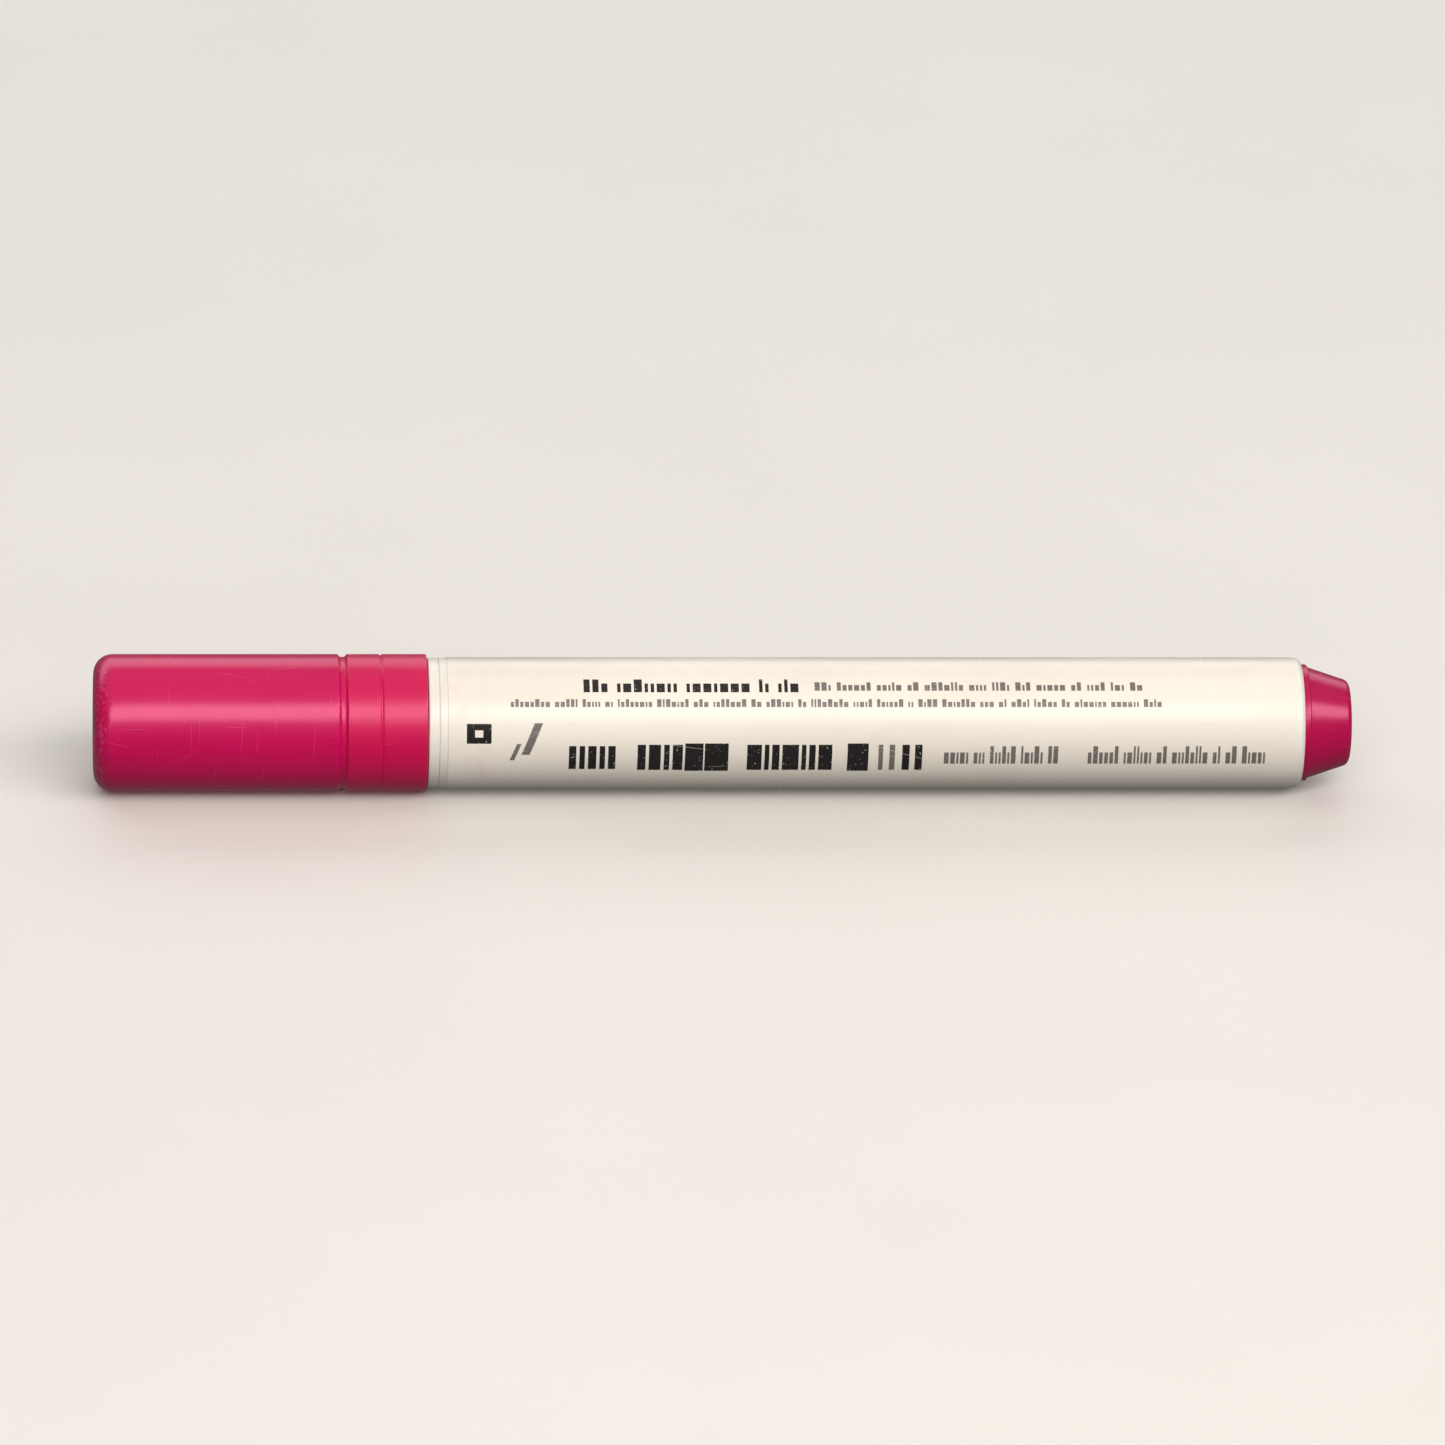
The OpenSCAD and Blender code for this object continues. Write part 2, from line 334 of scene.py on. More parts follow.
slot_section = [
    (-CUTTER_PAST, slot_r), (-CUTTER_PAST, slot_r + SLOT_W),
    (CAP_END + CUTTER_PAST, slot_r + SLOT_W), (CAP_END + CUTTER_PAST, slot_r),
]
slots = []
for i in range(SLOTS):
    step = 360 / SLOTS * i
    slots.append(swept_bar(f"slot_{i}", slot_section, SLOT_FROM + step, SLOT_TO + step, SLOT_STEPS))
cut(cap, slots, SLOT_SOFT)
print("cap with slots:", len(cap.data.polygons), "faces")

# %% [markdown]
# ## The liner
#
# Inside the cap sits a soft cup of waxy plastic. It seals on the nose and keeps the nib from drying out. Its
# flange holds it in the cap, and notches in the flange let air past. It shows only when the cap is off, when
# somebody looks into the mouth, but then it is the first thing they see, so it is made as carefully.

# %% Turn the liner
LINER_WALL, LINER_END = 0.9, 0.9
LINER_CHAMFER, LINER_MOUTH = 0.4, 0.25
NOTCHES, NOTCH_W = 6, 1.6
liner_r = cap_in_r - CAP_RIB_H - 2 * SLIDE_GAP
liner_in_r = liner_r - LINER_WALL
flange_u = liner_end - LINER_FLANGE

liner_outline = [
    (liner_start, 0), (liner_start, liner_r - LINER_CHAMFER), (liner_start + LINER_CHAMFER, liner_r),
    (flange_u, liner_r), (flange_u, liner_flange_r), (liner_end, liner_flange_r),
    (liner_end, liner_in_r + LINER_MOUTH), (liner_end - LINER_MOUTH, liner_in_r),
    (liner_start + LINER_END, liner_in_r), (liner_start + LINER_END, 0),
]


def liner_notches(u, r, angle):
    """Sinks the notches into the flange's rim."""
    if r > liner_r + CLOSE:
        r -= (r - liner_r) * rib(angle, NOTCHES, NOTCH_W, liner_flange_r)
    return u, r


liner = turned("liner", spaced(softened(liner_outline, 0.12)), liner_notches)
print("liner:", len(liner.data.polygons), "faces")

# %% [markdown]
# ## The nib
#
# A bullet nib is a rod of bonded fibres, ground round at its tip. The fibres run lengthwise and give the rod
# a fine, uneven grain. We make that grain real: each column is pushed in by a small random depth that drifts
# slowly along the rod. Writing wears the tip a little flat on one side, so the tip is pressed in there.

# %% Turn the nib
import random

from mathutils import Matrix, Vector, noise

NIB_ROUND, NIB_ROUND_STEPS = 4.0, 24
NIB_TAIL = 1.2
GRAIN_DEEP = 0.035
WORN_SIDE = math.radians(70)
WORN_BACK, WORN_IN = 0.5, 0.25

grain_dice = random.Random(7)
nib_grain = [grain_dice.random() for _ in range(COLUMNS)]

nib_outline = []
for i in range(NIB_ROUND_STEPS + 1):
    t = math.pi / 2 * i / NIB_ROUND_STEPS
    nib_outline.append((nib_start + NIB_ROUND * (1 - math.cos(t)), nib_r * math.sin(t)))
nib_outline += [(nib_end - NIB_TAIL, nib_r), (nib_end, nib_r / 2), (nib_end, 0)]


def nib_fibres(u, r, angle):
    """Sinks the fibres' grain and the worn side of the tip into the nib."""
    column = round(angle / (2 * math.pi) * COLUMNS) % COLUMNS
    drift = noise.noise(Vector((u * 0.35, nib_grain[column] * 40, 0)))
    deep = GRAIN_DEEP * min(1, r / nib_r) * (0.5 + 0.5 * nib_grain[column] + 0.4 * drift)
    near_tip = max(0, 1 - (u - nib_start) / NIB_ROUND)
    worn = max(0, math.cos(angle - WORN_SIDE)) * r / nib_r
    return u + WORN_BACK * near_tip ** 2 * worn, r - max(0, deep) - WORN_IN * near_tip * worn


nib = turned("felt_nib", spaced(nib_outline, 0.8), nib_fibres)
print("nib:", len(nib.data.polygons), "faces")

# %% [markdown]
# ## The nose section
#
# This white moulding joins everything at the front. From the tip back it has a cone round the nib, the smooth
# land that the liner seals on, a second cone, the collar that the cap grips, the flange that the cap stops
# at, and a spigot inside the barrel. Air grooves in its bore let air into the barrel as ink leaves it.

# %% Turn the nose section
TIP_WALL = 0.9
COLLAR_L, LAND_L = 8.6, 6.0
TAPER_SHARE = 2 / 3
SPIGOT_WALL = 1.3
SEAT_GAP = 0.1
AIR_GROOVES, AIR_GROOVE_W, AIR_GROOVE_DEEP = 3, 0.9, 0.45
BARREL_WALL = 1.0
bore_r = barrel_r - BARREL_WALL
tip_r = nib_r + TIP_WALL
land_r = liner_in_r - SLIDE_GAP
collar_r = cap_in_r - SLIDE_GAP
flange_start = cap_end + SEAT_GAP
collar_start = flange_start - COLLAR_L
land_start = nose_start + (collar_start - nose_start - LAND_L) * TAPER_SHARE
land_end = land_start + LAND_L
hollow_start = collar_start + LEAD_IN
spigot_in_r = bore_r - SPIGOT_WALL

nose_outline = [
    (nose_start, nib_r), (nose_start, tip_r), (land_start, land_r), (land_end, land_r),
    (collar_start, collar_r), (flange_start, collar_r), (flange_start, barrel_r),
    (barrel_start, barrel_r), (barrel_start, bore_r),
    (nose_end - LEAD_IN, bore_r), (nose_end, bore_r - LEAD_IN), (nose_end, spigot_in_r),
    (hollow_start + spigot_in_r - nib_r, spigot_in_r), (hollow_start, nib_r),
]


def air_grooves(u, r, angle):
    """Sinks the air grooves into the bore round the nib."""
    if r < nib_r + 0.2 and u < hollow_start + 0.2:
        r += AIR_GROOVE_DEEP * rib(angle, AIR_GROOVES, AIR_GROOVE_W, nib_r)
    return u, r


nose = turned("nose", spaced(softened(nose_outline, 0.2)), air_grooves)
print("nose:", round(land_r * 2, 2), "mm land,", round(collar_r * 2, 2), "mm collar")

# %% [markdown]
# ## The barrel
#
# The barrel is an extruded white tube. Most of it is under the label, and its two ends show. Ribs inside it
# hold the reservoir in the middle and leave room for air.

# %% Turn the barrel
BARREL_RIBS, BARREL_RIB_W, BARREL_RIB_H = 6, 0.9, 0.55
RIB_SETBACK = 0.25
ribs_start, ribs_end = nose_end + RIB_SETBACK, core_end

barrel_outline = [
    (barrel_start, bore_r), (barrel_start, barrel_r), (barrel_end - LEAD_IN, barrel_r),
    (barrel_end, barrel_r - LEAD_IN), (barrel_end, bore_r),
    (ribs_end + RIB_STEP, bore_r), (ribs_end - RIB_STEP, bore_r),
    (ribs_start + RIB_STEP, bore_r), (ribs_start - RIB_STEP, bore_r),
]


def barrel_ribs(u, r, angle):
    """Raises the ribs that hold the reservoir."""
    if abs(r - bore_r) < CLOSE and ribs_start < u < ribs_end:
        r -= BARREL_RIB_H * rib(angle, BARREL_RIBS, BARREL_RIB_W, r)
    return u, r


barrel = turned("barrel_tube", spaced(softened(barrel_outline, 0.12)), barrel_ribs)
print("barrel:", len(barrel.data.polygons), "faces")

# %% [markdown]
# ## The label
#
# The label is a printed film wrapped once round the barrel. A film can't end where it began, so it overlaps
# itself by a few millimetres, low on the far side, and the lap is a hair thicker than the rest. The film is
# made as a tube whose outer radius steps up along that lap.

# %% Wrap the label
LAP_ANGLE, LAP_W = math.radians(-140), 4.0
LAP_STEP, LAP_RAMP = 0.035, 0.25
film_thick = label_r - barrel_r

label_outline = [
    (label_start, barrel_r), (label_start, label_r), (label_end, label_r), (label_end, barrel_r),
]


def label_lap(u, r, angle):
    """Lowers the film everywhere but on the lap."""
    if r > barrel_r + film_thick / 2:
        off = abs((angle - LAP_ANGLE + math.pi) % (2 * math.pi) - math.pi) * r
        lap = min(1, max(0, (LAP_W / 2 - off) / LAP_RAMP))
        r -= LAP_STEP * (1 - lap)
    return u, r


label = turned("label_film", spaced(softened(label_outline, 0.03, guard=0.05)), label_lap)
print("label:", round(label_end - label_start, 1), "mm long,", round(film_thick, 2), "mm thick")

# %% [markdown]
# ## What is printed on the label
#
# The printing could be painted by the label's material, but a pattern of a hundred small marks makes a very
# large tree of nodes, and its edges blur when it is baked. So each mark is a thin patch of its own, bent to
# the film and sunk into it, and only a hundredth of a millimetre proud. The marks are bars and blocks
# only: they have the rhythm of print and say nothing.

# %% A mark bent round the film
INKS = {"black": 0, "grey": 1, "pale": 2}
PRINT_PROUD, PRINT_SUNK = 0.01, 0.02
MARK_STEP = 0.3
film_face_r = label_r - LAP_STEP

print_verts, print_faces, print_inks = [], [], []


def mark(start, end, angle, tall, ink, slant=0.0):
    """A mark from start to end, in mm from the cap's mouth, tall mm high about an angle in degrees."""
    steps = max(1, math.ceil(tall / MARK_STEP))
    first = len(print_verts)
    for i in range(steps + 1):
        up = tall * (i / steps - 0.5)
        at = math.radians(angle) + up / film_face_r
        for r in (film_face_r - PRINT_SUNK, film_face_r + PRINT_PROUD):
            for along in (start, end):
                print_verts.append(place(cap_end + along + slant * up, r, at))
    added = [(0, 2, 3, 1), tuple(4 * steps + k for k in (0, 1, 3, 2))]
    for i in range(steps):
        for a, b in ((0, 1), (1, 3), (3, 2), (2, 0)):
            added.append((4 * i + a, 4 * i + b, 4 * i + 4 + b, 4 * i + 4 + a))
    print_faces.extend(tuple(first + k for k in face) for face in added)
    print_inks.extend([INKS[ink]] * len(added))


# %% [markdown]
# A line of small print reads as words at a glance: short blocks in groups, some taller than the rest. Dice
# with a fixed seed choose the widths, so the label comes out the same each time.

# %% Rows of greeked print and of bars
SHORT_LETTER = 0.66
BLOCK_GAP, WORD_GAP = 0.17, 0.45

print_dice = random.Random(21)


def greeked_row(start, end, angle, tall, ink, narrow=1.0):
    """A row of small blocks, in groups, that stands for a line of print. Narrow squeezes it lengthwise."""
    at = start
    while at < end - tall:
        for _ in range(print_dice.randint(2, 8)):
            wide = print_dice.choice((0.22, 0.4, 0.52)) * tall * narrow
            high = print_dice.choice((SHORT_LETTER, SHORT_LETTER, 1.0)) * tall
            if at + wide < end:
                raised = math.degrees((high - SHORT_LETTER * tall) / 2 / film_face_r)
                mark(at, at + wide, angle + raised, high, ink)
            at += wide + BLOCK_GAP * tall * narrow
        at += WORD_GAP * tall * narrow


def bars(start, widths, gap, angle, tall, ink):
    """Upright bars of those widths, with the same gap after each."""
    for wide in widths:
        mark(start, start + wide, angle, tall, ink)
        start += wide + gap


# %% [markdown]
# The side that faces the viewer has two rows of small print above a clear band, which has a square and two
# strokes at its left end. Below it a row of bold bars ends in lighter print. The far side, which a hand turns
# up, has a block of small print and a patch of bars like the one a till reads. Rows are placed by their angle
# round the marker.

# %% Print the near side
TOP_ROW, SECOND_ROW, CLEAR_ROW, BOLD_ROW = 55, 39, 13, -10
greeked_row(17, 41, TOP_ROW, 1.7, "black")
greeked_row(42.3, 78.5, TOP_ROW, 1.1, "grey")
greeked_row(9, 81, SECOND_ROW, 0.9, "grey")

for corner in (4.2, 6.0):
    mark(corner, corner + 0.9, CLEAR_ROW, 2.2, "black")
for side in (-6.0, 6.0):
    mark(5.1, 6.0, CLEAR_ROW + side, 0.7, "black")
mark(10.9, 11.8, 8, 3.6, "grey", slant=0.4)
mark(9.3, 9.8, -4, 2.0, "grey", slant=0.4)

bars(15.4, (0.8, 0.6, 0.9, 0.6, 0.8), 0.35, BOLD_ROW, 3.0, "black")
bars(22.9, (0.9, 1.3, 0.6, 1.1), 0.35, BOLD_ROW, 3.3, "black")
bars(28.1, (2.0, 2.6), 0.15, BOLD_ROW, 3.6, "black")
bars(34.9, (1.6, 0.5, 0.8, 1.8, 0.5, 0.7, 1.5), 0.32, BOLD_ROW, 3.3, "black")
mark(45.9, 48.2, BOLD_ROW, 3.6, "black")
bars(49.3, (0.5, 0.6), 0.7, BOLD_ROW, 3.3, "grey")
bars(51.9, (0.8, 0.8), 0.6, BOLD_ROW, 3.3, "black")
for start, end in ((56.5, 70.2), (72.3, 92.0)):
    greeked_row(start, end, BOLD_ROW, 2.2, "grey", narrow=0.45)

# %% Print the far side
BLOCK_TOP, BLOCK_PITCH, HEADING, BAR_PATCH = 196, 14, 212, 180
for row in range(5):
    greeked_row(12, 62 - 9 * (row % 2), BLOCK_TOP - BLOCK_PITCH * row, 1.0, "pale")
greeked_row(12, 40, HEADING, 1.6, "grey")
patch = (0.3, 0.6, 0.3, 0.9, 0.3, 0.3, 0.6, 0.3, 0.9, 0.6, 0.3, 0.3, 0.9, 0.3, 0.6)
bars(70, patch, 0.45, BAR_PATCH, 7.5, "black")

label_print = mesh_object("label_print", print_verts, print_faces)
label_print.data.polygons.foreach_set("material_index", print_inks)
print("print:", len(print_faces), "faces")

# %% [markdown]
# ## The reservoir
#
# Nobody sees the ink reservoir unless the marker is taken apart. It is a rod of fine fibre with a socket for
# the nib, and a clear film rolled round it to keep the ink in. It costs only a few lines more, and then the
# marker is whole inside too.

# %% Turn the reservoir and its film
FIBRE_DEEP = 0.06

fibre_dice = random.Random(11)
fibre_depth = [fibre_dice.random() for _ in range(COLUMNS)]

core_outline = [
    (nib_end, 0), (nib_end, nib_r / 2), (nib_end - NIB_TAIL, nib_r), (core_start, nib_r),
    (core_start, core_r), (core_end, core_r), (core_end, 0),
]


def core_fibres(u, r, angle):
    """Gives the rod's outside the uneven surface of a bundle of fibres."""
    column = round(angle / (2 * math.pi) * COLUMNS) % COLUMNS
    return u, r - (FIBRE_DEEP * fibre_depth[column] if r > core_r - CLOSE else 0)


core = turned("fibre_core", spaced(core_outline), core_fibres)
film_outline = [(core_start, core_r), (core_start, film_r), (core_end, film_r), (core_end, core_r)]
film = turned("core_film", spaced(film_outline))
print("reservoir:", round(core_end - core_start, 1), "mm of fibre")

# %% [markdown]
# ## The rear plug
#
# The plug closes the barrel. Outside it tapers from a thin flange to a rounded rim with a recess. Inside the
# barrel it has a hollow spigot with two sealing rings, and crossed fins that press on the reservoir. The fins
# are bars that pass through the spigot, so a Boolean union makes one skin of them.

# %% Turn the plug and add its fins
PLUG_FLANGE_T, PLUG_STEP, PLUG_TAPER = 0.7, 0.25, 1.35
PLUG_ROUND, RIM_W, RECESS_DEEP = 0.8, 1.3, 1.4
PLUG_SPIGOT_L, PLUG_WALL, PLUG_END = 9.0, 1.1, 1.0
RING_H, RING_W = 0.1, 0.8
FIN_W, FIN_ROOT = 0.9, 0.2
plug_base_r = plug_r - PLUG_STEP
plug_rim_r = plug_base_r - PLUG_TAPER
recess_r = plug_rim_r - RIM_W
plug_spigot_r = bore_r - RING_H
plug_in_r = plug_spigot_r - PLUG_WALL
plug_spigot_start = barrel_end - PLUG_SPIGOT_L
taper_start = barrel_end + PLUG_FLANGE_T
taper_tilt = math.degrees(math.atan(PLUG_TAPER / (plug_end - PLUG_ROUND - taper_start)))

plug_outline = [
    (plug_end - RECESS_DEEP - PLUG_END, 0), (plug_end - RECESS_DEEP - PLUG_END, recess_r),
    (barrel_end, plug_in_r), (plug_spigot_start, plug_in_r),
    (plug_spigot_start, plug_spigot_r - LEAD_IN), (plug_spigot_start + LEAD_IN, plug_spigot_r),
    *groove(barrel_end - PLUG_SPIGOT_L * 2 / 3, plug_spigot_r, RING_W, -RING_H),
    *groove(barrel_end - PLUG_SPIGOT_L / 3, plug_spigot_r, RING_W, -RING_H),
    (barrel_end, plug_spigot_r), (barrel_end, plug_r), (taper_start, plug_r), (taper_start, plug_base_r),
    *arc(plug_end - PLUG_ROUND, plug_rim_r - PLUG_ROUND, PLUG_ROUND, 90 - taper_tilt, 0),
    (plug_end, recess_r), (plug_end - RECESS_DEEP, recess_r), (plug_end - RECESS_DEEP, GATE_R),
    (plug_end - RECESS_DEEP - GATE_DEEP, GATE_R), (plug_end - RECESS_DEEP - GATE_DEEP, 0),
]


def fin(name, across):
    """A bar through the spigot, from wall to wall along the Y or Z axis of the frame."""
    wide = plug_in_r + FIN_ROOT
    corners = [(s * wide, t * FIN_W / 2) for s, t in ((-1, -1), (1, -1), (1, 1), (-1, 1))]
    verts = []
    for u in (plug_start, barrel_end):
        for long, short in corners:
            y, z = (long, short) if across == "y" else (short, long)
            verts.append((CLOSED_END_X + u * MM, y * MM, AXIS_Z + z * MM))
    faces = [(0, 1, 2, 3), (4, 5, 6, 7)] + [(i, (i + 1) % 4, (i + 1) % 4 + 4, i + 4) for i in range(4)]
    return mesh_object(name, verts, faces)


plug = turned("plug", spaced(softened(plug_outline, 0.12)))
for added in (fin("fin_y", "y"), fin("fin_z", "z")):
    union = plug.modifiers.new("add fin", "BOOLEAN")
    union.operation, union.solver, union.object = "UNION", "EXACT", added
    apply_modifiers(plug)
    bpy.data.objects.remove(added)
print("plug:", len(plug.data.polygons), "faces")

# %% [markdown]
# ## Finishes
#
# Every finish below is a Principled shader fed by a few procedural patterns. All patterns are read from the
# piece's own coordinates, turned into millimetres, so that "a noise of 2" means blotches two millimetres
# across on every piece. A few helpers keep the node trees short enough to read.

# %% Helpers for node trees
def add(tree, kind, inputs, **options):
    """Adds a node and returns its first output. Inputs are numbers, colours or other nodes' outputs."""
    node = tree.nodes.new("ShaderNode" + kind)
    for key, value in options.items():
        setattr(node, key, value)
    for key, value in inputs.items():
        if isinstance(value, bpy.types.NodeSocket):
            tree.links.new(value, node.inputs[key])
        else:
            node.inputs[key].default_value = value
    return node.outputs[0]


def add_all(tree, kind, value):
    """Adds a node with one input and returns all its outputs."""
    node = tree.nodes.new("ShaderNode" + kind)
    tree.links.new(value, node.inputs[0])
    return node.outputs


def calc(tree, what, a, b=0.0):
    """One step of arithmetic, named as Blender's Math node names it."""
    return add(tree, "Math", {0: a, 1: b}, operation=what)


def ramp(tree, value, low, high, bottom=0.0, top=1.0):
    """Bottom up to low, top from high on, and a smooth way between. Low may be the larger of the two."""
    if low > high:
        low, high, bottom, top = high, low, top, bottom
    ends = {"Value": value, "From Min": low, "From Max": high, "To Min": bottom, "To Max": top}
    return add(tree, "MapRange", ends, interpolation_type="SMOOTHSTEP")


def tint(tree, share, one, two):
    """Colour one where share is 0, colour two where it is 1."""
    node = tree.nodes.new("ShaderNodeMix")
    node.data_type = "RGBA"
    for index, value in ((0, share), (6, one), (7, two)):
        if isinstance(value, bpy.types.NodeSocket):
            tree.links.new(value, node.inputs[index])
        else:
            node.inputs[index].default_value = value
    return node.outputs[2]


def blotches(tree, where, size, detail=2.0, stretch=(1, 1, 1)):
    """Noise from 0 to 1 with blotches about size mm across, longer where stretch is over 1."""
    scale = tuple(1 / (size * s) for s in stretch)
    shaped = add(tree, "VectorMath", {0: where, 1: scale}, operation="MULTIPLY")
    return add(tree, "TexNoise", {"Vector": shaped, "Scale": 1.0, "Detail": detail})


def linear(red, green, blue):
    """A colour given as a paint program shows it, 0 to 255, as the linear colour that a shader takes."""
    parts = [c / 255 for c in (red, green, blue)]
    return (*[c / 12.92 if c <= 0.04045 else ((c + 0.055) / 1.055) ** 2.4 for c in parts], 1)


def new_finish(name):
    """A new material, its tree, its shader, and the piece's coordinates in millimetres."""
    material = bpy.data.materials.new(name)
    material.use_nodes = True
    tree = material.node_tree
    source = tree.nodes.new("ShaderNodeTexCoord").outputs["Object"]
    where = add(tree, "VectorMath", {0: source, "Scale": 1 / MM}, operation="SCALE")
    return material, tree, tree.nodes["Principled BSDF"], where


def round_places(tree, where):
    """Distance u from the cap's closed end, turn from the top in radians, and distance from the axis."""
    x, y, z = add_all(tree, "SeparateXYZ", where)
    rise = calc(tree, "SUBTRACT", z, AXIS_Z / MM)
    squares = calc(tree, "ADD", calc(tree, "MULTIPLY", y, y), calc(tree, "MULTIPLY", rise, rise))
    out = calc(tree, "SQRT", squares)
    turn = calc(tree, "ARCTAN2", calc(tree, "MULTIPLY", y, -1.0), rise)
    return calc(tree, "SUBTRACT", x, CLOSED_END_X / MM), turn, out


def laid_flat(tree, u, turn, r):
    """The surface at radius r laid flat, as coordinates in millimetres."""
    return add(tree, "CombineXYZ", {0: u, 1: calc(tree, "MULTIPLY", turn, r)})


def set_surface(tree, shader, colour, rough, height, deep):
    """Wires a finish to its shader. Deep is how far, in millimetres, the height pattern reaches."""
    tree.links.new(colour, shader.inputs["Base Color"])
    tree.links.new(rough, shader.inputs["Roughness"])
    bump = add(tree, "Bump", {"Height": height, "Distance": deep * MM, "Strength": 1.0})
    tree.links.new(bump, shader.inputs["Normal"])


# %% [markdown]
# A marker lives in a tray and in hands, so its plastic is covered in faint hairlines. To make them straight
# on a round piece, they are drawn on the surface laid flat. A saw-tooth runs across them and gives a line in
# the middle of each tooth, and a slow noise bends them a little. A second noise, as narrow as the lines are
# apart, keeps only a few short stretches. Sliding in and out of a tray scratches a marker lengthwise, and
# twisting its cap scratches it round about.

# %% Hairline scratches
def hairlines(tree, flat, turn, apart, amount, wide=0.06):
    """Short thin lines, 1 on a line and 0 elsewhere, at an angle in degrees to the marker's length."""
    rotated = add(tree, "Mapping", {"Vector": flat, "Rotation": (0, 0, math.radians(turn))})
    _, across, _ = add_all(tree, "SeparateXYZ", rotated)
    bend = calc(tree, "MULTIPLY", blotches(tree, rotated, 7, 0.0, (4, 1, 1)), 2.5)
    saw = calc(tree, "FRACT", calc(tree, "ADD", calc(tree, "DIVIDE", across, apart), bend))
    line = ramp(tree, calc(tree, "ABSOLUTE", calc(tree, "SUBTRACT", saw, 0.5)), wide / apart, 0)
    kept = ramp(tree, blotches(tree, rotated, apart, 1.0, (9, 1, 1)), 1 - amount, 1.1 - amount)
    return calc(tree, "MULTIPLY", line, kept)


def wear(tree, flat, amount=0.38):
    """Hairlines along the marker, at two slants and round it."""
    worn = hairlines(tree, flat, 3, 0.7, amount)
    for turn, apart in ((-14, 1.3), (31, 1.7), (87, 0.9)):
        worn = calc(tree, "MAXIMUM", worn, hairlines(tree, flat, turn, apart, amount))
    return worn


# %% [markdown]
# ### Magenta plastic
#
# The cap and the plug are polypropylene: a strong colour, a soft shine and a little light that goes into the
# surface and comes out again. The shine is tinted too, so that it turns the plastic pink and not grey. On the
# grip band the wall is backed by the white collar, which shows through and makes it a little warmer. The
# plug's colour is a darker magenta than the cap's, which is painted shade for its taper that faces away from
# the light.
# Scuffs turn the plastic pale, most of all round the corner of the closed end, which takes the knocks.

# %% Mix the magenta plastic
MAGENTA = linear(202, 5, 88)
MAGENTA_DEEP = linear(186, 3, 78)
BAND_MAGENTA = linear(206, 10, 82)
# The plug's two magentas are darker than the cap's: painted shade for its taper, which faces away from the
# light.
PLUG_PAINTED_SHADE_MAGENTA = linear(178, 4, 76)
PLUG_PAINTED_SHADE_DEEP = linear(164, 3, 68)
SCUFF_PINK = linear(236, 120, 168)
PLASTIC_IOR = 1.49
GLOW_DEPTH = 0.6 * MM


def magenta_plastic(name, light, deep, banded):
    material, tree, shader, where = new_finish(name)
    u, turn, out = round_places(tree, where)
    flat = laid_flat(tree, u, turn, cap_r)
    clouds = ramp(tree, blotches(tree, flat, 9, 1.0, (2, 1, 1)), 0.25, 0.75, 0.0, 0.4)
    colour = tint(tree, clouds, light, deep)
    sides = calc(tree, "MULTIPLY", ramp(tree, u, 0.6, CAP_ROUND), ramp(tree, out, recess_r, recess_r + 0.6))
    worn = calc(tree, "MULTIPLY", wear(tree, flat), sides)
    corner = calc(tree, "MULTIPLY", ramp(tree, u, 2.2, 0.6), ramp(tree, out, cap_r - 2.2, cap_r - 1.0))
    knocks = calc(tree, "MULTIPLY", corner, ramp(tree, blotches(tree, where, 0.5, 3.0), 0.45, 0.75))
    scuffed = calc(tree, "MAXIMUM", calc(tree, "MULTIPLY", worn, 0.2), calc(tree, "MULTIPLY", knocks, 0.3))
    rough = ramp(tree, blotches(tree, flat, 12, 2.0, (2.5, 1, 1)), 0.25, 0.75, 0.24, 0.29)
    if banded:
        on_band = ramp(tree, u, GROOVE_U - 0.2, GROOVE_U + 0.8)
        colour = tint(tree, on_band, colour, BAND_MAGENTA)
        rough = calc(tree, "ADD", rough, calc(tree, "MULTIPLY", on_band, 0.06))
    colour = tint(tree, scuffed, colour, SCUFF_PINK)
    rough = calc(tree, "ADD", rough, calc(tree, "MULTIPLY", worn, 0.2))
    skin = calc(tree, "MULTIPLY", blotches(tree, where, 0.5, 2.0), 0.35)
    height = calc(tree, "SUBTRACT", skin, calc(tree, "MULTIPLY", worn, 0.5))
    set_surface(tree, shader, colour, rough, height, 0.006)
    shader.inputs["IOR"].default_value = PLASTIC_IOR
    shader.inputs["Specular IOR Level"].default_value = 1.0
    shader.inputs["Specular Tint"].default_value = (1.0, 0.46, 0.7, 1)
    shader.inputs["Subsurface Weight"].default_value = 0.12
    shader.inputs["Subsurface Radius"].default_value = (1.0, 0.25, 0.35)
    shader.inputs["Subsurface Scale"].default_value = GLOW_DEPTH
    return material


cap_plastic = magenta_plastic("magenta plastic, cap", MAGENTA, MAGENTA_DEEP, True)
# The plug takes the darker magentas, which are painted shade.
plug_plastic = magenta_plastic("magenta plastic, plug", PLUG_PAINTED_SHADE_MAGENTA, PLUG_PAINTED_SHADE_DEEP, False)

# %% [markdown]
# ### White plastics
#
# The barrel and the nose are white, the liner is the milky colour of plain polyethylene. Where ink can reach,
# it stains: round the nib's exit on the nose, and inside the liner, where the nib has touched it. A stain has
# an uneven edge, so its ramp is shifted by noise before it is used.

# %% Mix the white plastics
WHITE = linear(240, 238, 232)
WHITE_SHADE = linear(231, 228, 220)
MILKY = linear(226, 224, 216)
INK = linear(176, 10, 74)
INK_PALE = linear(226, 120, 160)
GRIME = linear(190, 182, 170)


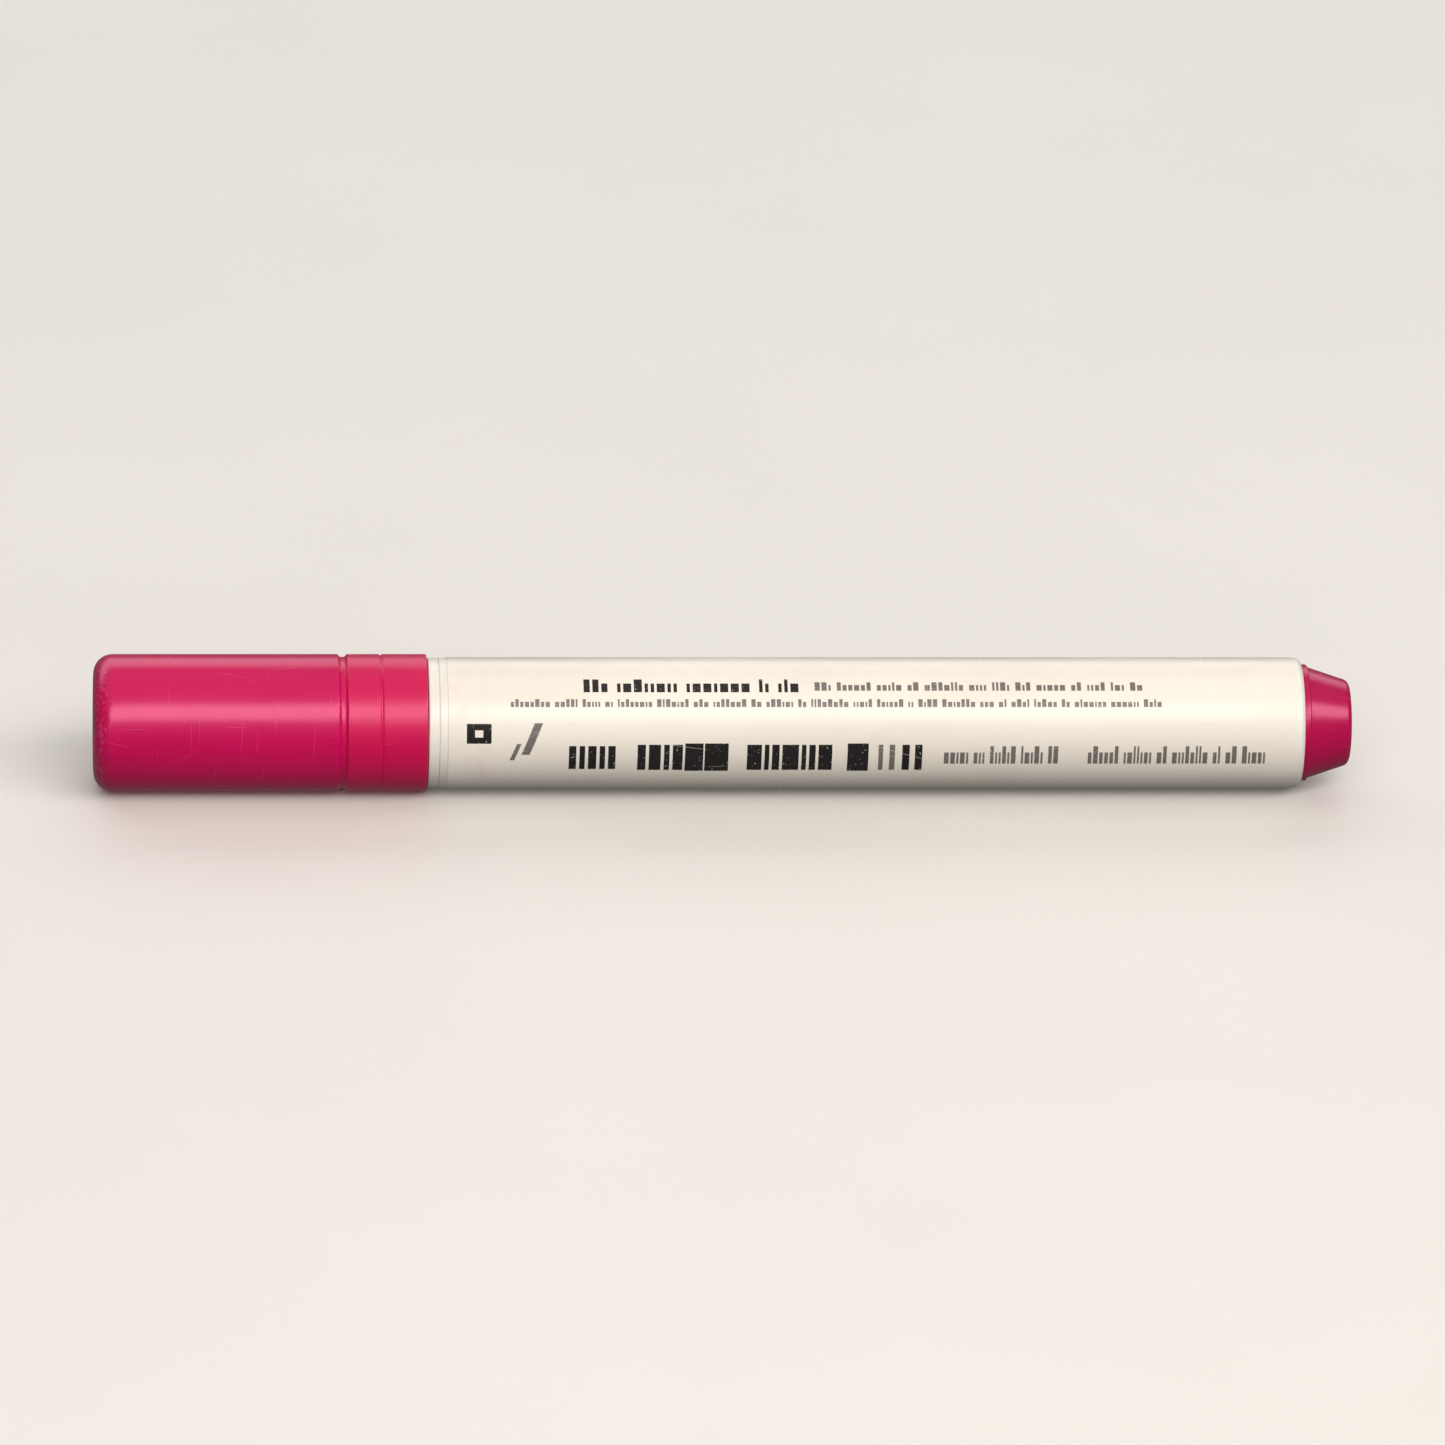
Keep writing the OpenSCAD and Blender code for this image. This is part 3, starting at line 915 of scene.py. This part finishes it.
def white_plastic(name, colour, shade, rough_base, stain_from=None, stain_to=None, ink=INK):
    material, tree, shader, where = new_finish(name)
    u, turn, _ = round_places(tree, where)
    body = tint(tree, ramp(tree, blotches(tree, where, 7, 3.0), 0.35, 0.7), colour, shade)
    if stain_from is not None:
        uneven = calc(tree, "SUBTRACT", blotches(tree, where, 0.9, 5.0, (2.5, 1, 1)), 0.5)
        ragged = calc(tree, "MULTIPLY", uneven, 5.0)
        stain = ramp(tree, calc(tree, "ADD", u, ragged), stain_to, stain_from)
        body = tint(tree, calc(tree, "MULTIPLY", stain, 0.85), body, ink)
    worn = wear(tree, laid_flat(tree, u, turn, barrel_r))
    body = tint(tree, calc(tree, "MULTIPLY", worn, 0.18), body, GRIME)
    rough = calc(tree, "ADD", calc(tree, "MULTIPLY", blotches(tree, where, 5, 3.0), 0.14), rough_base)
    set_surface(tree, shader, body, rough, blotches(tree, where, 0.45, 2.0), 0.003)
    shader.inputs["IOR"].default_value = PLASTIC_IOR
    shader.inputs["Subsurface Weight"].default_value = 0.15
    shader.inputs["Subsurface Radius"].default_value = (1.0, 0.9, 0.8)
    shader.inputs["Subsurface Scale"].default_value = GLOW_DEPTH
    return material


barrel_plastic = white_plastic("white plastic, barrel", WHITE, WHITE_SHADE, 0.3)
nose_plastic = white_plastic(
    "white plastic, nose", WHITE, WHITE_SHADE, 0.26, nose_start - 0.5, nose_start + 3.2)
liner_plastic = white_plastic(
    "milky plastic, liner", MILKY, WHITE_SHADE, 0.4, liner_start + 4, nose_start + 2, INK_PALE)

# %% [markdown]
# ### The label's film and its inks
#
# The film is smooth and shiny, but not flat: it follows the tube with faint long ripples, and here and there
# a grain of dust lies under it. Fingers that hold a marker leave faint grey and pink smears. The inks take
# the film's shine, and they have tiny flecks where they have rubbed off.

# %% Mix the film and the inks
FILM_WHITE = linear(240, 236, 228)
FILM_SHADE = linear(236, 231, 222)
SMEAR_PINK = linear(240, 196, 204)
SMEAR_GREY = linear(214, 209, 202)


def label_finish():
    material, tree, shader, where = new_finish("printed film")
    u, turn, _ = round_places(tree, where)
    flat = laid_flat(tree, u, turn, label_r)
    clouds = ramp(tree, blotches(tree, flat, 14, 1.0, (2, 1, 1)), 0.3, 0.7)
    colour = tint(tree, clouds, FILM_WHITE, FILM_SHADE)
    grey = ramp(tree, blotches(tree, flat, 5, 3.0, (3, 1, 1)), 0.5, 0.85, 0.0, 0.3)
    colour = tint(tree, grey, colour, SMEAR_GREY)
    near_cap = ramp(tree, u, label_start + 9, label_start)
    inky = ramp(tree, blotches(tree, flat, 2.4, 3.0, (1, 2, 1)), 0.45, 0.8)
    smeared = calc(tree, "MULTIPLY", calc(tree, "MULTIPLY", inky, near_cap), 0.5)
    colour = tint(tree, smeared, colour, SMEAR_PINK)
    worn = wear(tree, flat)
    colour = tint(tree, calc(tree, "MULTIPLY", worn, 0.16), colour, SMEAR_GREY)
    rough = ramp(tree, blotches(tree, flat, 8, 3.0, (2.5, 1, 1)), 0.3, 0.75, 0.24, 0.36)
    rough = calc(tree, "ADD", rough, calc(tree, "MULTIPLY", worn, 0.2))
    ripple = blotches(tree, flat, 1.6, 2.0, (14, 1, 1))
    dust = ramp(tree, blotches(tree, where, 0.55, 0.0), 0.74, 0.8)
    height = calc(tree, "ADD", calc(tree, "MULTIPLY", ripple, 0.8), calc(tree, "MULTIPLY", dust, 0.5))
    set_surface(tree, shader, colour, rough, height, 0.012)
    shader.inputs["IOR"].default_value = 1.46
    shader.inputs["Coat Weight"].default_value = 0.08
    shader.inputs["Coat Roughness"].default_value = 0.14
    return material


def ink_finish(name, ink, rubbed):
    material, tree, shader, where = new_finish(name)
    uneven = calc(tree, "MULTIPLY", blotches(tree, where, 1.5, 4.0), 0.25)
    colour = tint(tree, uneven, ink, rubbed)
    flecks = ramp(tree, blotches(tree, where, 0.28, 3.0), 0.66, 0.72)
    u, turn, _ = round_places(tree, where)
    scratched = calc(tree, "MULTIPLY", wear(tree, laid_flat(tree, u, turn, label_r)), 0.6)
    worn = calc(tree, "MAXIMUM", flecks, scratched)
    colour = tint(tree, calc(tree, "MULTIPLY", worn, 0.5), colour, FILM_SHADE)
    rough = calc(tree, "ADD", calc(tree, "MULTIPLY", worn, 0.2), 0.26)
    set_surface(tree, shader, colour, rough, blotches(tree, where, 0.3, 2.0), 0.002)
    return material


film_finish = label_finish()
inks = [
    ink_finish("black ink", linear(26, 24, 26), linear(62, 58, 60)),
    ink_finish("grey ink", linear(112, 106, 104), linear(146, 140, 136)),
    ink_finish("pale grey ink", linear(142, 134, 130), linear(172, 165, 160)),
]

# %% [markdown]
# ### Fibres and the reservoir's film
#
# Felt takes ink to its core, so it is dark and nearly matt, with fine lighter fibres. The noise is stretched
# forty times along the rod, which turns blotches into threads. The reservoir's film is clear plastic on wet
# fibre, so what shows is the ink's colour with a shine over it.

# %% Mix the felt and the reservoir's film
NIB_INK = linear(150, 6, 60)
NIB_THREAD = linear(196, 40, 104)
CORE_INK = linear(196, 30, 96)
CORE_THREAD = linear(232, 120, 168)
TIP_INK = linear(96, 2, 40)
WET_FILM = linear(224, 110, 150)


def felt(name, ink, thread, tip=None):
    material, tree, shader, where = new_finish(name)
    threads = blotches(tree, where, 0.12, 3.0, (40, 1, 1))
    colour = tint(tree, ramp(tree, threads, 0.45, 0.75), ink, thread)
    if tip is not None:
        u, _, _ = round_places(tree, where)
        colour = tint(tree, ramp(tree, u, tip + 2.5, tip, 0.0, 0.5), colour, TIP_INK)
    rough = ramp(tree, threads, 0.3, 0.8, 0.62, 0.9)
    set_surface(tree, shader, colour, rough, threads, 0.05)
    shader.inputs["Sheen Weight"].default_value = 0.25
    shader.inputs["Sheen Roughness"].default_value = 0.5
    return material


def wet_film(name):
    material, tree, shader, where = new_finish(name)
    colour = tint(tree, ramp(tree, blotches(tree, where, 0.5, 3.0, (20, 1, 1)), 0.4, 0.7), WET_FILM, CORE_INK)
    rough = calc(tree, "ADD", calc(tree, "MULTIPLY", blotches(tree, where, 4, 3.0), 0.12), 0.12)
    set_surface(tree, shader, colour, rough, blotches(tree, where, 2.2, 2.0, (8, 1, 1)), 0.02)
    shader.inputs["Coat Weight"].default_value = 0.4
    shader.inputs["Coat Roughness"].default_value = 0.08
    return material


nib_felt = felt("magenta felt, nib", NIB_INK, NIB_THREAD, nib_start)
core_felt = felt("magenta fibre, reservoir", CORE_INK, CORE_THREAD)
core_film_finish = wet_film("clear film on wet fibre")

# %% [markdown]
# ## Put the pieces together
#
# Each new piece takes the place of a CAD node, gets its finish, and rides on the body that carries the node.
# The cap's shell and its liner ride on bodies of their own, so they come off when the joints move.

# %% Give each piece its finish, its body and its node
PIECES = (
    (cap, "cap", "cap_shell", "cap_plastic", cap_plastic),
    (liner, "liner", "inner_cap", "liner_plastic", liner_plastic),
    (nib, "barrel", "nib", "nib_felt", nib_felt),
    (nose, "barrel", "nose_section", "nose_plastic", nose_plastic),
    (barrel, "barrel", "barrel", "barrel_plastic", barrel_plastic),
    (label, "barrel", "label", "label_film", film_finish),
    (core, "barrel", "reservoir_core", "reservoir_fibre", core_felt),
    (film, "barrel", "reservoir_film", "wrap_film", core_film_finish),
    (plug, "barrel", "rear_plug", "plug_plastic", plug_plastic),
)
for piece, body, node, slot, finish in PIECES:
    piece.data.materials.append(finish)
    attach(piece, body)
    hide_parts(node)

for ink in inks:
    label_print.data.materials.append(ink)
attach(label_print, "barrel")
print("pieces:", len(PIECES) + 1)

# %% [markdown]
# ## Floor, lights and camera
#
# The stage is a plain pale floor under soft, warm light. A long box light above and in front lays one band of
# shine along the whole tube. It reaches further to the right, so the plug catches it too and the cap's closed
# end stays deep. A big light overhead softens the shadows, a low one in front lights the side that faces the
# viewer and leaves no shine of its own, and one behind picks out the top edge.
#
# A pale floor throws so much light back up that the marker's underside goes flat and grey. So this floor is
# hidden from bounced light and from reflections: it takes the marker's shadow and gives nothing back.

# %% Lay the floor
FLOOR_SIDE = 3.0
FLOOR_PALE, FLOOR_SHADE = linear(238, 237, 235), linear(232, 231, 228)
bpy.ops.mesh.primitive_plane_add(size=FLOOR_SIDE)
floor = bpy.context.object
floor.name = "floor"
floor_finish, tree, shader, where = new_finish("pale floor")
floor_tone = tint(tree, blotches(tree, where, 60, 3.0), FLOOR_PALE, FLOOR_SHADE)
floor_rough = calc(tree, "ADD", calc(tree, "MULTIPLY", blotches(tree, where, 20, 3.0), 0.1), 0.5)
set_surface(tree, shader, floor_tone, floor_rough, blotches(tree, where, 0.8, 3.0), 0.01)
floor.data.materials.append(floor_finish)
floor.visible_diffuse = floor.visible_glossy = False

# %% Set the lights
world = bpy.data.worlds.new("studio")
bpy.context.scene.world = world
world.use_nodes = True
background = world.node_tree.nodes["Background"]
background.inputs["Color"].default_value = (1.0, 0.97, 0.93, 1)
background.inputs["Strength"].default_value = 0.14
middle = Vector((0, 0, AXIS_Z))


def towards(azimuth, elevation, distance):
    """The point at that distance from the marker's middle. Azimuth 0 is in front, and grows to the right."""
    a, e = math.radians(azimuth), math.radians(elevation)
    return middle + distance * Vector((math.sin(a) * math.cos(e), -math.cos(a) * math.cos(e), math.sin(e)))


def box_light(name, azimuth, elevation, distance, width, height, watts, tone, in_shine=True):
    """A rectangle of light that faces the marker. Where in_shine is false it lights, but is not reflected."""
    light = bpy.data.lights.new(name, "AREA")
    light.shape, light.size, light.size_y = "RECTANGLE", width, height
    light.energy, light.color = watts, tone
    lamp = bpy.data.objects.new(name, light)
    lamp.location = towards(azimuth, elevation, distance)
    lamp.rotation_euler = (middle - lamp.location).to_track_quat("-Z", "Y").to_euler()
    lamp.visible_glossy = in_shine
    bpy.context.scene.collection.objects.link(lamp)


WARM, PLAIN = (1.0, 0.94, 0.87), (1.0, 0.97, 0.94)
box_light("front window", 22, 42, 1.5, 2.6, 0.7, 26, WARM)
box_light("overhead", 0, 85, 1.5, 2.4, 2.0, 6, PLAIN)
box_light("low front fill", 0, 14, 1.5, 1.6, 0.75, 5, WARM, in_shine=False)
box_light("back light", 190, 35, 1.1, 2.0, 0.6, 5, PLAIN)
bpy.context.scene.view_settings.view_transform = "Standard"

# %% [markdown]
# The marker is seen from in front, a little from the left and from above. A long lens far away keeps its
# sides parallel, and a small roll lays it level in the frame. The lens length follows from how much of the
# frame the marker should fill.

# %% Place the camera
CAMERA_AZIMUTH, CAMERA_ELEVATION, CAMERA_DISTANCE = -4, 23, 1.45
FILL = 0.87
SENSOR = 36.0
CLIP_START = 0.05

camera_data = bpy.data.cameras.new("camera")
camera = bpy.data.objects.new("camera", camera_data)
bpy.context.scene.collection.objects.link(camera)
bpy.context.scene.camera = camera
marker_l = plug_end * MM
camera_data.sensor_width = SENSOR
camera_data.lens = SENSOR * CAMERA_DISTANCE * FILL / marker_l
camera_data.clip_start = CLIP_START
camera.location = towards(CAMERA_AZIMUTH, CAMERA_ELEVATION, CAMERA_DISTANCE)
look = (middle - camera.location).to_track_quat("-Z", "Y")
slope = math.atan(math.sin(math.radians(CAMERA_AZIMUTH)) * math.sin(math.radians(CAMERA_ELEVATION)))
camera.rotation_euler = (look.to_matrix() @ Matrix.Rotation(-slope, 3, "Z")).to_euler()
print("lens:", round(camera_data.lens), "mm")
